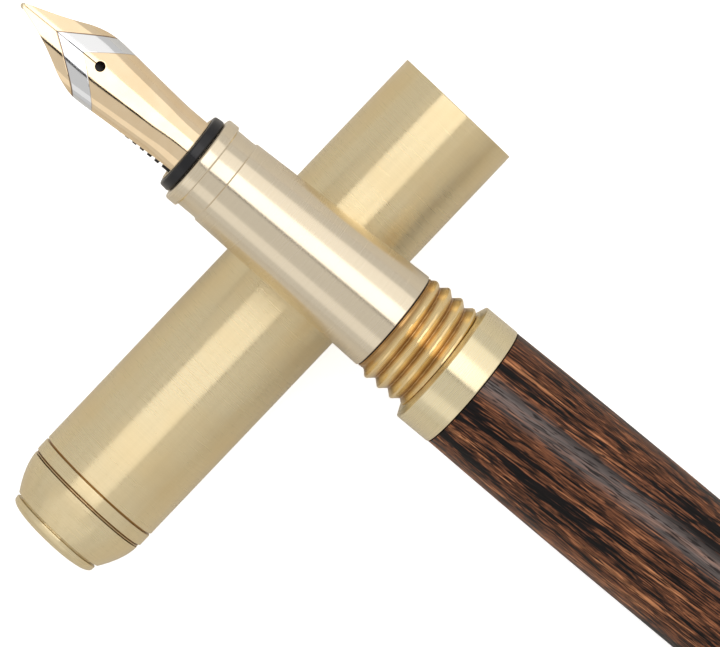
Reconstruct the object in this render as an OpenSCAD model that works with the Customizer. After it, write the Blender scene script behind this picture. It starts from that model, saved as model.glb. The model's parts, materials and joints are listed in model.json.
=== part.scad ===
// Fountain pen with a turned wooden barrel, lying across its own screw cap.
// Frame: +Z up, z = 0 is the table, +Y runs along the cap towards its mouth, the nib points to -X.
// Pen pieces are drawn along their own axis, station 0 at the nib's tip and rising to the tail.
// Cap pieces are drawn along their own axis, station 0 at the mouth and rising to the closed end.

/* [Nib] */
// Length of nib that shows in front of the section
nib_out = 21.9; // [20:0.1:24]
// Outer radius of the nib at its shoulders
nib_shoulder_r = 3.5; // [3.3:0.05:3.6]
// Outer radius of the nib where it enters its housing
nib_seat_r = 3.15; // [3.05:0.01:3.17]
// Sheet thickness of the nib
nib_t = 0.35; // [0.25:0.01:0.38]
// Turn of the nib about the pen's axis, towards the cap's mouth
nib_roll = 14; // [-30:1:30]

/* [Section] */
// Length of the grip section from its front lip to its rear joint
section_len = 26.7; // [24:0.1:32]
// Radius at the front of the grip's taper
section_front_r = 4.87; // [4.7:0.01:5]
// Radius at the rear of the grip's taper
section_rear_r = 5.67; // [5.5:0.01:5.8]
// Radius of the rounded bead at the front
bead_r = 5; // [4.8:0.05:5.2]

/* [Barrel] */
// Crest radius of the cap thread
thread_crest_r = 6.1; // [5.9:0.05:6.12]
// Pitch of the cap thread
thread_pitch = 1.6; // [1.2:0.1:1.6]
// Radius of the metal collar between thread and wood
collar_r = 7.05; // [6.8:0.05:7.15]
// Largest radius of the wooden barrel
barrel_r = 7.2; // [7.1:0.05:7.6]
// Length of the wooden barrel
wood_len = 62.4; // [60:0.1:75]

/* [Cap] */
// Outer radius of the cap tube
cap_r = 7.15; // [7.05:0.05:7.6]
// Full length of the cap
cap_len = 60.5; // [60.3:0.1:62]
// Bore radius at the mouth, where the thread sits
cap_mouth_r = 6.15; // [6.13:0.01:6.3]
// Bore radius behind the thread
cap_bore_r = 5.9; // [5.85:0.05:6]

/* [Lie] */
// Station on the pen that crosses over the cap's axis
cross_pen = 37.8; // [34:0.1:42]
// Distance of the crossing from the cap's mouth
cross_cap = 20.5; // [15:0.1:40]
// Turn of the pen from square to the cap, seen from above
yaw = 3.7; // [0:0.1:8]
// Clearance between grip and cap, which lets the tapered grip be drawn out over the cap
lie_gap = 0.4; // [0.38:0.01:0.6]

/* [Hidden] */
$fn = 96;

run_gap = 0.05; // radial clearance of pieces that slide or turn in one another
seat_gap = 0.02; // clearance between end faces that seat on each other

brass = [0.80, 0.73, 0.56];
thread_brass = [0.83, 0.66, 0.34];
gold = [0.86, 0.68, 0.33];
steel = [0.74, 0.75, 0.77];
wood = [0.22, 0.13, 0.09];
black = [0.07, 0.07, 0.08];
grey = [0.30, 0.30, 0.32];
clear = [0.80, 0.86, 0.90, 0.5];

// Stations along the pen
s_lip = nib_out;
s_bead = s_lip + 1.3;
s_neck = s_bead + 1.4;
s_taper = s_lip + 5.1;
s_joint = s_lip + section_len;
s_coupler = s_joint + 0.24;
s_chamfer = s_joint + 5.9;
s_collar = s_joint + 6.5;
s_wood = s_collar + 4;
s_spigot_end = s_wood + 7;
s_tail = s_wood + wood_len;
s_end = s_tail + 7.7;

// Radii inside the pen
housing_bore_r = 3.2;
housing_r = 3.55;
section_bore_r = 3.6;
section_rear_bore_r = 3.95;
tenon_r = 4.55;
tenon_len = 7;
coupler_bore_r = tenon_r + 0.1;
spigot_r = 5.35;
liner_bore_r = 4.75;
nipple_r = 1.25;
duct_r = 0.5;

groove_r = 3.7;

// Stations and radii of the converter, which pushes onto the housing's nipple
s_unit_bore_end = s_lip + 16.1;
s_housing_end = s_lip + 22.1;
nipple_len = 5.5;
s_conv = s_housing_end + 0.5;
s_chamber = s_conv + 6;
s_tube_end = s_conv + 34.5;
s_sleeve = s_conv + 26;
s_knob = s_conv + 47.8;
s_guide_end = s_knob - 0.2;
s_knob_end = s_conv + 67;
conv_r = 3.55;
conv_bore_r = 2.9;
sleeve_r = 3.75;
knob_r = 3.6;
knob_stem_r = 2.3;
rod_r = 1.4;
s_piston = s_chamber + 1;
s_piston_end = s_piston + 5;
s_flange = s_piston_end - 0.6;
core_r = 1.6;
rod_len = 32;

// Stations along the cap, measured from its mouth
c_thread_end = 8;
c_liner = 32.3;
c_tube_end = cap_len - 7.7;
c_ring = c_tube_end + 0.2;
c_ring_end = c_ring + 1.4;
c_dome = c_ring_end + 0.4;
c_spigot = c_tube_end - 3.5;
inner_cap_bore_r = 4.4;
inner_cap_end = c_dome + 1.5;
dome_spigot_r = cap_bore_r - seat_gap;
dome_cavity_r = 5.05;
stud_r = 1.5;

// The turned end that cap and barrel share: a dome, a short neck and a rounded button
dome_height = 4.1;
dome_face_r = 5.5;
dome_fall = 1.7;
end_neck_r = 4.9;
end_neck_len = 0.25;
button_r = 5.35;
button_edge = 1.1;
stud_cover = 0.55; // metal left over the stud's end
ring_edge = 0.3; // rounding of the ring beside the dome

// The nib's tip, a small ball on the end of the blade
tip_rise = 2.7;
tip_at = 0.3;
tip_r = 0.34;

// How the pen lies: the grip passes over the cap and the tail's ring rests on the table
s_rest = s_tail + 1.5;
s_tail_dome = s_rest + 0.3 + seat_gap;
grip_slope = (section_rear_r - section_front_r) / (s_joint - s_taper);
grip_over_cap_r = section_front_r + grip_slope * (cross_pen + 2 - s_taper);
axis_gap = cap_r + grip_over_cap_r + lie_gap;
rest_run = s_rest - cross_pen - 2;
tilt = asin(cap_r / norm([rest_run, axis_gap - barrel_r])) + atan((axis_gap - barrel_r) / rest_run);
axis_z = cap_r + axis_gap / cos(tilt);
along_x = cos(tilt) * cos(yaw);
tip_x = tip_rise * (cos(nib_roll) * sin(tilt) * cos(yaw) - sin(nib_roll) * sin(yaw));
face_x = (button_r - button_edge) * norm([sin(tilt) * cos(yaw), sin(yaw)]);
x_low = (tip_at - cross_pen) * along_x + tip_x - tip_r;
x_high = (s_end - button_edge - cross_pen) * along_x + face_x + button_edge;
x_mid = (x_low + x_high) / 2;
y_mid = cross_cap - cap_len / 2;

// Points of a circular arc, from angle a to angle b
function arc(x, y, r, a, b, steps = 5) = [
    for (i = [0 : steps]) [x + r * cos(a + (b - a) * i / steps), y + r * sin(a + (b - a) * i / steps)]
];

// Stands the pen's axis at its place on the table: local +X is up, local +Z runs to the tail
module pen_place() {
    translate([-x_mid, -y_mid, axis_z])
        rotate([0, 90 + tilt, yaw])
            rotate([0, 0, 180])
                translate([0, 0, -cross_pen])
                    children();
}

// Lays the cap's axis on the table: local +Z runs from the mouth to the closed end
module cap_place() {
    translate([-x_mid, cross_cap - y_mid, cap_r])
        rotate([90, 0, 0])
            children();
}

// Solid of revolution from an outline of [radius, station] points
module turned(outline) {
    rotate_extrude()
        polygon(outline);
}

// Plain tube between two stations
module tube(r_out, r_in, from, to) {
    turned([[r_in, from], [r_out, from], [r_out, to], [r_in, to]]);
}

// Plain rod between two stations
module rod(r, from, to) {
    translate([0, 0, from])
        cylinder(r = r, h = to - from);
}

// Ring grooves that stand for a thread, cut from a crest radius down to a root radius
module thread_grooves(crest_r, root_r, pitch, flat, from, count) {
    clear_r = crest_r + 0.2;
    for (i = [0 : count - 1])
        translate([0, 0, from + i * pitch])
            turned([
                [root_r, flat], [clear_r, flat / 2], [clear_r, pitch - flat / 2], [root_r, pitch - flat]
            ]);
}

// Dome that falls in a smooth curve from radius r to its end face
module end_dome(r, from, height) {
    steps = 8;
    fall = [for (i = [0 : steps]) pow(i / steps, dome_fall)];
    curve = [for (i = [0 : steps]) [r - (r - dome_face_r) * fall[i], from + height * i / steps]];
    turned(concat([[0, from]], curve, [[0, from + height]]));
}

// Rounded end button with a flat face, on its neck
module end_button(from, to) {
    lead = 0.1;
    button_from = from + end_neck_len;
    rod(end_neck_r, from, button_from + lead);
    turned(concat(
        [[0, button_from], [button_r - lead, button_from], [button_r, button_from + lead]],
        arc(button_r - button_edge, to - button_edge, button_edge, 0, 90),
        [[0, to]]
    ));
}

// Wooden sleeve, which swells slightly from the collar to its full radius
module barrel_wood() {
    swell_len = 23;
    color(wood)
        turned([
            [spigot_r + run_gap, s_wood], [collar_r - 0.07, s_wood],
            [collar_r + 0.03, s_wood + swell_len * 0.4],
            [barrel_r - 0.03, s_wood + swell_len * 0.75], [barrel_r, s_wood + swell_len],
            [barrel_r, s_tail], [spigot_r + run_gap, s_tail]
        ]);
}

// Brass tube glued inside the wood, between the coupler's spigot and the tail's plug
module barrel_liner() {
    color(brass)
        tube(spigot_r, liner_bore_r, s_spigot_end + 0.2, s_tail - 2);
}

// One turned piece: the male cap thread, the bright collar and the spigot inside the wood
module front_coupler() {
    root_r = thread_crest_r - 0.5;
    lead = 0.2;
    runout = 0.7;
    s_thread = s_coupler + 1;
    s_shoulder = s_wood - 0.12;
    color(thread_brass)
        difference() {
            turned([
                [coupler_bore_r, s_coupler], [root_r - lead, s_coupler], [root_r, s_coupler + lead],
                [root_r, s_coupler + runout], [thread_crest_r, s_thread], [thread_crest_r, s_chamfer],
                [collar_r, s_collar], [collar_r, s_shoulder - lead], [collar_r - lead, s_shoulder],
                [spigot_r, s_shoulder], [spigot_r, s_spigot_end], [coupler_bore_r, s_spigot_end]
            ]);
            thread_grooves(thread_crest_r, root_r, thread_pitch, 0.6, s_thread, 3);
        }
}

// Ring that closes the wood, with a plug inside the liner
module tail_ring() {
    plug_from = s_tail - 1.6;
    step_r = barrel_r - 0.4;
    s_step = s_rest + 0.3;
    color(brass)
        difference() {
            turned(concat(
                [
                    [0, plug_from], [spigot_r, plug_from], [spigot_r, s_tail + seat_gap],
                    [barrel_r, s_tail + seat_gap]
                ],
                arc(barrel_r - ring_edge, s_rest - ring_edge, ring_edge, 0, 90),
                [[step_r, s_rest], [step_r, s_step], [0, s_step]]
            ));
            rod(stud_r, plug_from - 1, s_end);
        }
}

module tail_dome() {
    color(brass)
        difference() {
            end_dome(barrel_r - 0.2, s_tail_dome, dome_height);
            rod(stud_r, s_rest, s_end);
        }
}

// Stud that draws button, dome and ring together
module tail_stud() {
    color(steel)
        rod(stud_r - seat_gap, s_tail - 1.4, s_end - stud_cover - run_gap);
}

module tail_button() {
    face = s_tail_dome + dome_height + seat_gap;
    color(brass)
        difference() {
            end_button(face, s_end);
            rod(stud_r, face - 1, s_end - stud_cover);
        }
}

// Thin seal between grip and coupler, round the grip's tenon
module section_washer() {
    color(black)
        tube(section_rear_r - 0.14, tenon_r + run_gap, s_joint + seat_gap, s_coupler - seat_gap);
}

// Soft ring in the grip's front groove, which steadies the closed cap
module section_oring() {
    ring_r = 0.56;
    color(black)
        translate([0, 0, s_lip + 0.72])
            rotate_extrude()
                translate([groove_r + run_gap + ring_r, 0])
                    circle(r = ring_r, $fn = 32);
}

// Grip: lip, groove, bead, neck and taper, then the threaded tenon that screws into the coupler
module section_grip() {
    bead = (s_neck - s_bead) / 2;
    bead_centre_r = bead_r - bead;
    neck_r = 4.7;
    lip_r = groove_r + 0.2;
    break_edge = 0.1;
    tenon_thread = 0.3;
    s_tenon_end = s_joint + tenon_len;
    color(brass)
        difference() {
            turned(concat(
                [
                    [section_bore_r, s_lip], [section_bore_r + 0.2, s_lip - break_edge], [lip_r, s_lip],
                    [groove_r, s_lip + 0.14], [groove_r, s_bead], [bead_centre_r, s_bead]
                ],
                arc(bead_centre_r, s_bead + bead, bead, -90, 90, 8),
                [
                    [bead_centre_r, s_neck], [neck_r, s_neck], [neck_r, s_taper - break_edge],
                    [section_front_r, s_taper], [section_rear_r, s_joint - break_edge],
                    [section_rear_r - break_edge, s_joint], [tenon_r, s_joint],
                    [tenon_r, s_tenon_end - tenon_thread], [tenon_r - tenon_thread, s_tenon_end],
                    [section_rear_bore_r, s_tenon_end],
                    [section_rear_bore_r, s_housing_end], [section_bore_r, s_housing_end]
                ]
            ));
            thread_grooves(tenon_r, tenon_r - tenon_thread, 0.75, 0.2, s_joint + 1.2, 6);
        }
}

// Housing that holds nib and feed, with the nipple for the converter at its rear
module nib_housing() {
    front = s_lip + 0.4;
    nipple_end = s_housing_end + nipple_len;
    color(black)
        turned([
            [housing_bore_r, front], [housing_r, front], [housing_r, s_housing_end],
            [nipple_r, s_housing_end], [nipple_r, nipple_end],
            [duct_r, nipple_end], [duct_r, s_unit_bore_end], [housing_bore_r, s_unit_bore_end]
        ]);
}

// Ink feed: a finned body under the nib and a plain stem inside the housing
module feed() {
    feed_from = 6;
    feed_end = s_unit_bore_end - 0.5;
    stem_r = 1.9;
    fin_r = nib_seat_r - run_gap;
    fins_from = 13;
    fin_pitch = 0.95;
    fin_slot = 0.45;
    over = 1; // how far the cutting shapes run past the feed
    span = 2 * (fin_r + over);
    seat_x = 0.2;
    under_nib_r = nib_seat_r - nib_t - run_gap;
    // side view as [station, height]: a flat top, a slanting underside and the full body behind
    side = [
        [feed_from, 2.35], [feed_from, 2.7], [feed_end, fin_r + over], [feed_end, -fin_r - over],
        [16, -fin_r - over], [14, -2.9], [11.5, -1.2], [8.5, 0.9]
    ];
    color(black)
        rotate([0, 0, -nib_roll])
            difference() {
                intersection() {
                    rod(fin_r, feed_from, feed_end);
                    translate([0, span / 2, 0])
                        rotate([90, 0, 0])
                            linear_extrude(height = span)
                                polygon([for (p = side) [p[1], p[0]]]);
                }
                intersection() {
                    tube(span / 2, under_nib_r, feed_from - over, feed_end + over);
                    translate([seat_x, -span / 2, 0])
                        cube([span, span, feed_end + 2 * over]);
                }
                intersection() {
                    for (i = [0 : 8])
                        translate([0, 0, fins_from + i * fin_pitch])
                            tube(span / 2, stem_r, 0, fin_slot);
                    translate([seat_x - over / 5 - span, -span / 2, 0])
                        cube([span, span, s_lip]);
                }
            }
}

// Nib: a curved sheet cut to its plan outline, slit to the breather hole
module nib_blade() {
    nib_end = s_lip + 12;
    hole_at = 9.9;
    hole_r = 0.52;
    slit_w = 0.12;
    reach = 5; // past the blade on every side, for the cutting shapes
    sheet_low_x = 0.3;
    half_plan = [
        [0.55, 0.3], [2, 0.78], [4.5, 1.7], [6, 2.4], [7, 2.82], [8, 3.13], [8.9, 3.33], [9.8, 3.4],
        [11, 3.38], [14, 3.22], [19, 2.92], [22, 2.86], [nib_end, 2.6]
    ];
    last = len(half_plan) - 1;
    plan = concat(half_plan, [for (i = [last : -1 : 0]) [half_plan[i][0], -half_plan[i][1]]]);
    crown = [
        [2.86, 0.4], [3.05, 3], [3.26, 6], [nib_shoulder_r - 0.07, 8.4], [nib_shoulder_r, 9.8],
        [nib_shoulder_r - 0.02, 11], [nib_seat_r + 0.16, 15], [nib_seat_r, 19], [nib_seat_r, nib_end]
    ];
    color(gold)
        rotate([0, 0, -nib_roll])
            difference() {
                intersection() {
                    turned(concat(crown, [for (i = [len(crown) - 1 : -1 : 0]) crown[i] - [nib_t, 0]]));
                    translate([reach, 0, 0])
                        rotate([0, -90, 0])
                            linear_extrude(height = reach - sheet_low_x)
                                polygon(plan);
                }
                translate([0, -slit_w / 2, 0])
                    cube([reach, slit_w, hole_at]);
                translate([0, 0, hole_at])
                    rotate([0, 90, 0])
                        cylinder(r = hole_r, h = reach);
            }
}

module nib_tipping() {
    color(steel)
        rotate([0, 0, -nib_roll])
            translate([tip_rise, 0, tip_at])
                sphere(r = tip_r);
}

// Clear ink chamber, with the mouth that pushes over the nipple
module converter_tube() {
    mouth_r = nipple_r + 0.07;
    lead = 0.3;
    color(clear)
        turned([
            [mouth_r, s_conv], [conv_r - lead, s_conv], [conv_r, s_conv + lead], [conv_r, s_tube_end],
            [conv_bore_r, s_tube_end], [conv_bore_r, s_chamber], [mouth_r, s_chamber]
        ]);
}

module converter_sleeve() {
    color(steel)
        tube(sleeve_r, conv_r + seat_gap, s_sleeve, s_guide_end);
}

// Guide nut that closes the converter tube and carries the knob's stem
module converter_guide() {
    wall = 1.5;
    color(black)
        turned([
            [rod_r + run_gap, s_tube_end + seat_gap], [conv_r, s_tube_end + seat_gap], [conv_r, s_guide_end],
            [knob_stem_r + run_gap, s_guide_end], [knob_stem_r + run_gap, s_tube_end + wall],
            [rod_r + run_gap, s_tube_end + wall]
        ]);
}

// Turning knob, its hollow stem and the knurls on its outside
module converter_knob() {
    knurls = 24;
    knurl_r = 0.22;
    knurl_len = 12;
    wall = 0.8;
    edge = 0.3;
    stem_from = s_tube_end + 1.6;
    color(steel)
        difference() {
            turned([
                [0, s_knob_end - wall], [0, s_knob_end],
                [knob_r - edge, s_knob_end], [knob_r, s_knob_end - edge],
                [knob_r, s_knob + edge], [knob_r - edge, s_knob], [knob_stem_r, s_knob],
                [knob_stem_r, stem_from], [rod_r + run_gap, stem_from], [rod_r + run_gap, s_knob_end - wall]
            ]);
            for (i = [0 : knurls - 1])
                rotate([0, 0, 360 * i / knurls])
                    translate([knob_r + run_gap, 0, s_knob + 2])
                        cylinder(r = knurl_r, h = knurl_len, $fn = 16);
        }
}

module piston_rod() {
    color(black)
        rod(rod_r, s_piston_end + seat_gap, s_piston_end + rod_len);
}

// Core that carries the seal between its front and its rear flange
module piston_core() {
    color(black)
        turned([
            [0, s_piston], [core_r, s_piston], [core_r, s_flange], [core_r + 0.9, s_flange],
            [core_r + 0.9, s_piston_end], [0, s_piston_end]
        ]);
}

// Soft seal with a wiping lip at each end
module piston_seal() {
    lip_r = conv_bore_r - 0.03;
    waist_r = lip_r - 0.47;
    inner_r = core_r + seat_gap;
    lead = 0.1;
    from = s_piston + 0.3;
    to = s_flange - seat_gap;
    color(grey)
        turned([
            [inner_r, from], [lip_r - lead, from], [lip_r, from + 0.3], [lip_r, from + 0.8],
            [waist_r, from + 1.2], [waist_r, to - 1.2],
            [lip_r, to - 0.8], [lip_r, to - 0.3], [lip_r - lead, to], [inner_r, to]
        ]);
}

// Cap tube: a bevelled mouth, the thread's clear bore and the plain bore behind it
module cap_tube() {
    bevel = 0.45;
    step = cap_mouth_r - cap_bore_r;
    edge = 0.05;
    color(brass)
        turned([
            [cap_mouth_r + bevel, 0], [cap_r - edge, 0], [cap_r, edge],
            [cap_r, c_tube_end - edge], [cap_r - edge, c_tube_end],
            [cap_bore_r, c_tube_end], [cap_bore_r, c_thread_end], [cap_mouth_r, c_thread_end - step],
            [cap_mouth_r, bevel]
        ]);
}

// Ring between tube and dome, with a fine groove on its front and a step behind
module cap_ring() {
    groove_floor_r = cap_r - 0.15;
    step_r = cap_r - 0.4;
    c_step = c_dome - 0.05;
    color(brass)
        turned(concat(
            [
                [cap_bore_r, c_tube_end + seat_gap], [groove_floor_r, c_tube_end + seat_gap],
                [groove_floor_r, c_ring], [cap_r, c_ring]
            ],
            arc(cap_r - ring_edge, c_ring_end - ring_edge, ring_edge, 0, 90),
            [[step_r, c_ring_end], [step_r, c_step], [cap_bore_r, c_step]]
        ));
}

// Domed end with a spigot that reaches through the ring into the tube
module cap_dome() {
    color(brass)
        difference() {
            union() {
                end_dome(cap_r - 0.1, c_dome - seat_gap, dome_height);
                rod(dome_spigot_r, c_spigot, c_dome);
            }
            rod(dome_cavity_r, c_spigot - 1, inner_cap_end + seat_gap);
            rod(stud_r, c_dome, cap_len);
        }
}

// Inner cap that seals round the nib
module cap_liner() {
    step_at = c_spigot - seat_gap;
    outer_r = cap_bore_r - seat_gap;
    rear_r = dome_cavity_r - seat_gap;
    end_wall = 0.6;
    color(black)
        turned([
            [inner_cap_bore_r, c_liner], [outer_r, c_liner], [outer_r, step_at], [rear_r, step_at],
            [rear_r, inner_cap_end], [0, inner_cap_end],
            [0, inner_cap_end - end_wall], [inner_cap_bore_r, inner_cap_end - end_wall]
        ]);
}

// Stud that draws button and dome together
module cap_stud() {
    color(steel)
        rod(stud_r - seat_gap, inner_cap_end + 0.1, cap_len - stud_cover - run_gap);
}

module cap_button() {
    face = c_dome + dome_height + seat_gap;
    color(brass)
        difference() {
            end_button(face, cap_len);
            rod(stud_r, face - 1, cap_len - stud_cover);
        }
}

pen_place() barrel_wood();
pen_place() barrel_liner();
pen_place() front_coupler();
pen_place() tail_ring();
pen_place() tail_dome();
pen_place() tail_stud();
pen_place() tail_button();
pen_place() section_washer();
pen_place() section_oring();
pen_place() section_grip();
pen_place() nib_housing();
pen_place() feed();
pen_place() nib_blade();
pen_place() nib_tipping();
pen_place() converter_tube();
pen_place() converter_sleeve();
pen_place() converter_guide();
pen_place() converter_knob();
pen_place() piston_rod();
pen_place() piston_core();
pen_place() piston_seal();
cap_place() cap_tube();
cap_place() cap_ring();
cap_place() cap_dome();
cap_place() cap_liner();
cap_place() cap_stud();
cap_place() cap_button();
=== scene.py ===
import json
import math

import bmesh
import bpy
from mathutils import Matrix, Vector


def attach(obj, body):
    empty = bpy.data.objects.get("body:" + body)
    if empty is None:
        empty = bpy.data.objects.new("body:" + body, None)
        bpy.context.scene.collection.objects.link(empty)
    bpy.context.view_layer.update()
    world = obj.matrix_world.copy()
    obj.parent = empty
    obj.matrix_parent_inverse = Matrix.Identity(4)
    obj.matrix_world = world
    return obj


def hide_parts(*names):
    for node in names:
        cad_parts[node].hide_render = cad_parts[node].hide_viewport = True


# A fountain pen lying across its loose cap, on a pale table.
# Outlines are [radius, station] in millimetres, with a third number where a corner is rounded.
# Pen stations start at the nib's tip, cap stations at the mouth.

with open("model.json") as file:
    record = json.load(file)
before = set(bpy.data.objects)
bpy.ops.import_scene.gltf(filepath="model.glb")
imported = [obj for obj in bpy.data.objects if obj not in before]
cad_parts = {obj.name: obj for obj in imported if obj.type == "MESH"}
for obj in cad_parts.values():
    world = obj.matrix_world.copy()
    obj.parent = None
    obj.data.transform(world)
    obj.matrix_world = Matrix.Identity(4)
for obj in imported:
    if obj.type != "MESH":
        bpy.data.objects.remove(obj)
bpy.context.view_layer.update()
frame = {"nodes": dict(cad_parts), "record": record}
record = frame["record"]
mm = 0.001
mounts = {m["name"]: m for m in record["mounts"]}
print("frame loaded:", len(frame["nodes"]), "nodes")


def mountPoint(name):
    return Vector(mounts[name]["pos_m"])


def axisMatrix(origin, along, upHint):
    up = (upHint - along * upHint.dot(along)).normalized()
    side = along.cross(up)
    return Matrix.Translation(origin) @ Matrix((up, side, along)).transposed().to_4x4()


barrelGripStation = 102
capMouthStation = 4
tailward = Vector(mounts["barrel_grip"]["axis"]).normalized()
penOrigin = mountPoint("barrel_grip") - tailward * barrelGripStation * mm
penPlace = axisMatrix(penOrigin, tailward, Vector((0, 0, 1)))
capInward = -Vector(mounts["cap_mouth"]["axis"]).normalized()
capOrigin = mountPoint("cap_mouth") - capInward * capMouthStation * mm
capPlace = axisMatrix(capOrigin, capInward, Vector((0, 0, 1)))


def addNode(tree, kind, **settings):
    node = tree.nodes.new(kind)
    for key, value in settings.items():
        setattr(node, key, value)
    return node


def link(tree, source, target):
    tree.links.new(source, target)


def mathNode(tree, operation, a, b=None, clamp=False):
    node = addNode(tree, "ShaderNodeMath", operation=operation, use_clamp=clamp)
    for i, value in enumerate((a, b)):
        if value is None:
            continue
        if isinstance(value, (int, float)):
            node.inputs[i].default_value = value
        else:
            link(tree, value, node.inputs[i])
    return node.outputs[0]


def product(tree, a, b, clamp=False):
    return mathNode(tree, "MULTIPLY", a, b, clamp)


def total(tree, a, b, clamp=False):
    return mathNode(tree, "ADD", a, b, clamp)


def difference(tree, a, b):
    return mathNode(tree, "SUBTRACT", a, b)


def joinAxes(tree, x, y, z):
    node = addNode(tree, "ShaderNodeCombineXYZ")
    for i, value in enumerate((x, y, z)):
        link(tree, value, node.inputs[i])
    return node.outputs[0]


def splitAxes(tree, vector):
    node = addNode(tree, "ShaderNodeSeparateXYZ")
    link(tree, vector, node.inputs[0])
    return node.outputs[0], node.outputs[1], node.outputs[2]


def stretch(tree, vector, scales):
    # scales the three axes apart, by numbers or by sockets
    axes = splitAxes(tree, vector)
    return joinAxes(tree, *(product(tree, axis, scale) for axis, scale in zip(axes, scales)))


def scaleVector(tree, vector, scale):
    node = addNode(tree, "ShaderNodeVectorMath", operation="MULTIPLY")
    link(tree, vector, node.inputs[0])
    node.inputs[1].default_value = scale
    return node.outputs[0]


def noise(tree, vector, scale, detail=2.0, rough=0.5):
    node = addNode(tree, "ShaderNodeTexNoise")
    link(tree, vector, node.inputs["Vector"])
    node.inputs["Scale"].default_value = scale
    node.inputs["Detail"].default_value = detail
    node.inputs["Roughness"].default_value = rough
    return node.outputs["Fac"]


def ramp(tree, value, stops):
    node = addNode(tree, "ShaderNodeValToRGB")
    link(tree, value, node.inputs["Fac"])
    elements = node.color_ramp.elements
    while len(elements) < len(stops):
        elements.new(0.5)
    for element, (position, color) in zip(elements, stops):
        element.position = position
        element.color = (*color, 1)
    return node.outputs["Color"]


def remap(tree, value, low, high, outLow, outHigh):
    node = addNode(tree, "ShaderNodeMapRange")
    link(tree, value, node.inputs["Value"])
    limits = {"From Min": low, "From Max": high, "To Min": outLow, "To Max": outHigh}
    for name, number in limits.items():
        node.inputs[name].default_value = number
    return node.outputs["Result"]


def mixColor(tree, factor, a, b):
    node = addNode(tree, "ShaderNodeMix", data_type="RGBA")
    sockets = {s.name: s for s in node.inputs if s.enabled}
    for name, value in (("Factor", factor), ("A", a), ("B", b)):
        if isinstance(value, (int, float)):
            sockets[name].default_value = value
        elif isinstance(value, tuple):
            sockets[name].default_value = (*value, 1)
        else:
            link(tree, value, sockets[name])
    return [s for s in node.outputs if s.enabled][0]


def makeGroup(name, inputs, outputs):
    group = bpy.data.node_groups.new(name, "ShaderNodeTree")
    for label, kind, value in inputs:
        socket = group.interface.new_socket(label, in_out="INPUT", socket_type=kind)
        if value is not None:
            socket.default_value = value
    for label, kind in outputs:
        group.interface.new_socket(label, in_out="OUTPUT", socket_type=kind)
    return group, addNode(group, "NodeGroupInput"), addNode(group, "NodeGroupOutput")


def makeTurningLines():
    # fine rings left by a lathe or a brushing wheel, broken up round the piece
    group, given, out = makeGroup(
        "turningLines",
        [("Vector", "NodeSocketVector", None), ("Per Metre", "NodeSocketFloat", 9000.0)],
        [("Lines", "NodeSocketFloat")],
    )
    breaks = 160.0  # per metre, round the piece
    rings = stretch(group, given.outputs["Vector"], (breaks, breaks, given.outputs["Per Metre"]))
    link(group, noise(group, rings, 1.0, 3.0, 0.65), out.inputs["Lines"])
    return group


def makeLengthStreaks():
    # long faint marks along the axis, from handling and polishing
    group, given, out = makeGroup(
        "lengthStreaks",
        [("Vector", "NodeSocketVector", None), ("Across", "NodeSocketFloat", 1400.0),
         ("Along", "NodeSocketFloat", 30.0)],
        [("Streaks", "NodeSocketFloat")],
    )
    across, along = given.outputs["Across"], given.outputs["Along"]
    marks = stretch(group, given.outputs["Vector"], (across, across, along))
    link(group, noise(group, marks, 1.0, 3.0, 0.6), out.inputs["Streaks"])
    return group


def makeHandMarks():
    # soft clouded patches where fingers have dulled a finish
    group, given, out = makeGroup(
        "handMarks",
        [("Vector", "NodeSocketVector", None), ("Scale", "NodeSocketFloat", 180.0)],
        [("Marks", "NodeSocketFloat")],
    )
    node = addNode(group, "ShaderNodeTexNoise")
    link(group, given.outputs["Vector"], node.inputs["Vector"])
    link(group, given.outputs["Scale"], node.inputs["Scale"])
    node.inputs["Detail"].default_value = 4.0
    link(group, node.outputs["Fac"], out.inputs["Marks"])
    return group


turningLines = makeTurningLines()
lengthStreaks = makeLengthStreaks()
handMarks = makeHandMarks()
print("surface effects ready")


def useGroup(tree, group, vector, **values):
    node = addNode(tree, "ShaderNodeGroup")
    node.node_tree = group
    link(tree, vector, node.inputs["Vector"])
    for label, value in values.items():
        node.inputs[label.replace("_", " ")].default_value = value
    return node.outputs[0]


def plainMaterial(name):
    material = bpy.data.materials.new(name)
    material.use_nodes = True
    return material, material.node_tree, material.node_tree.nodes["Principled BSDF"]


def newMaterial(name):
    # a material that follows each piece's own coordinates, in metres along its axis and round it
    material, tree, shader = plainMaterial(name)
    coords = addNode(tree, "ShaderNodeAttribute", attribute_name="pieceCoords").outputs["Vector"]
    return material, tree, shader, coords


def addBump(tree, shader, height, strength, distance):
    bump = addNode(tree, "ShaderNodeBump")
    bump.inputs["Strength"].default_value = strength
    bump.inputs["Distance"].default_value = distance
    link(tree, height, bump.inputs["Height"])
    link(tree, bump.outputs["Normal"], shader.inputs["Normal"])


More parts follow.
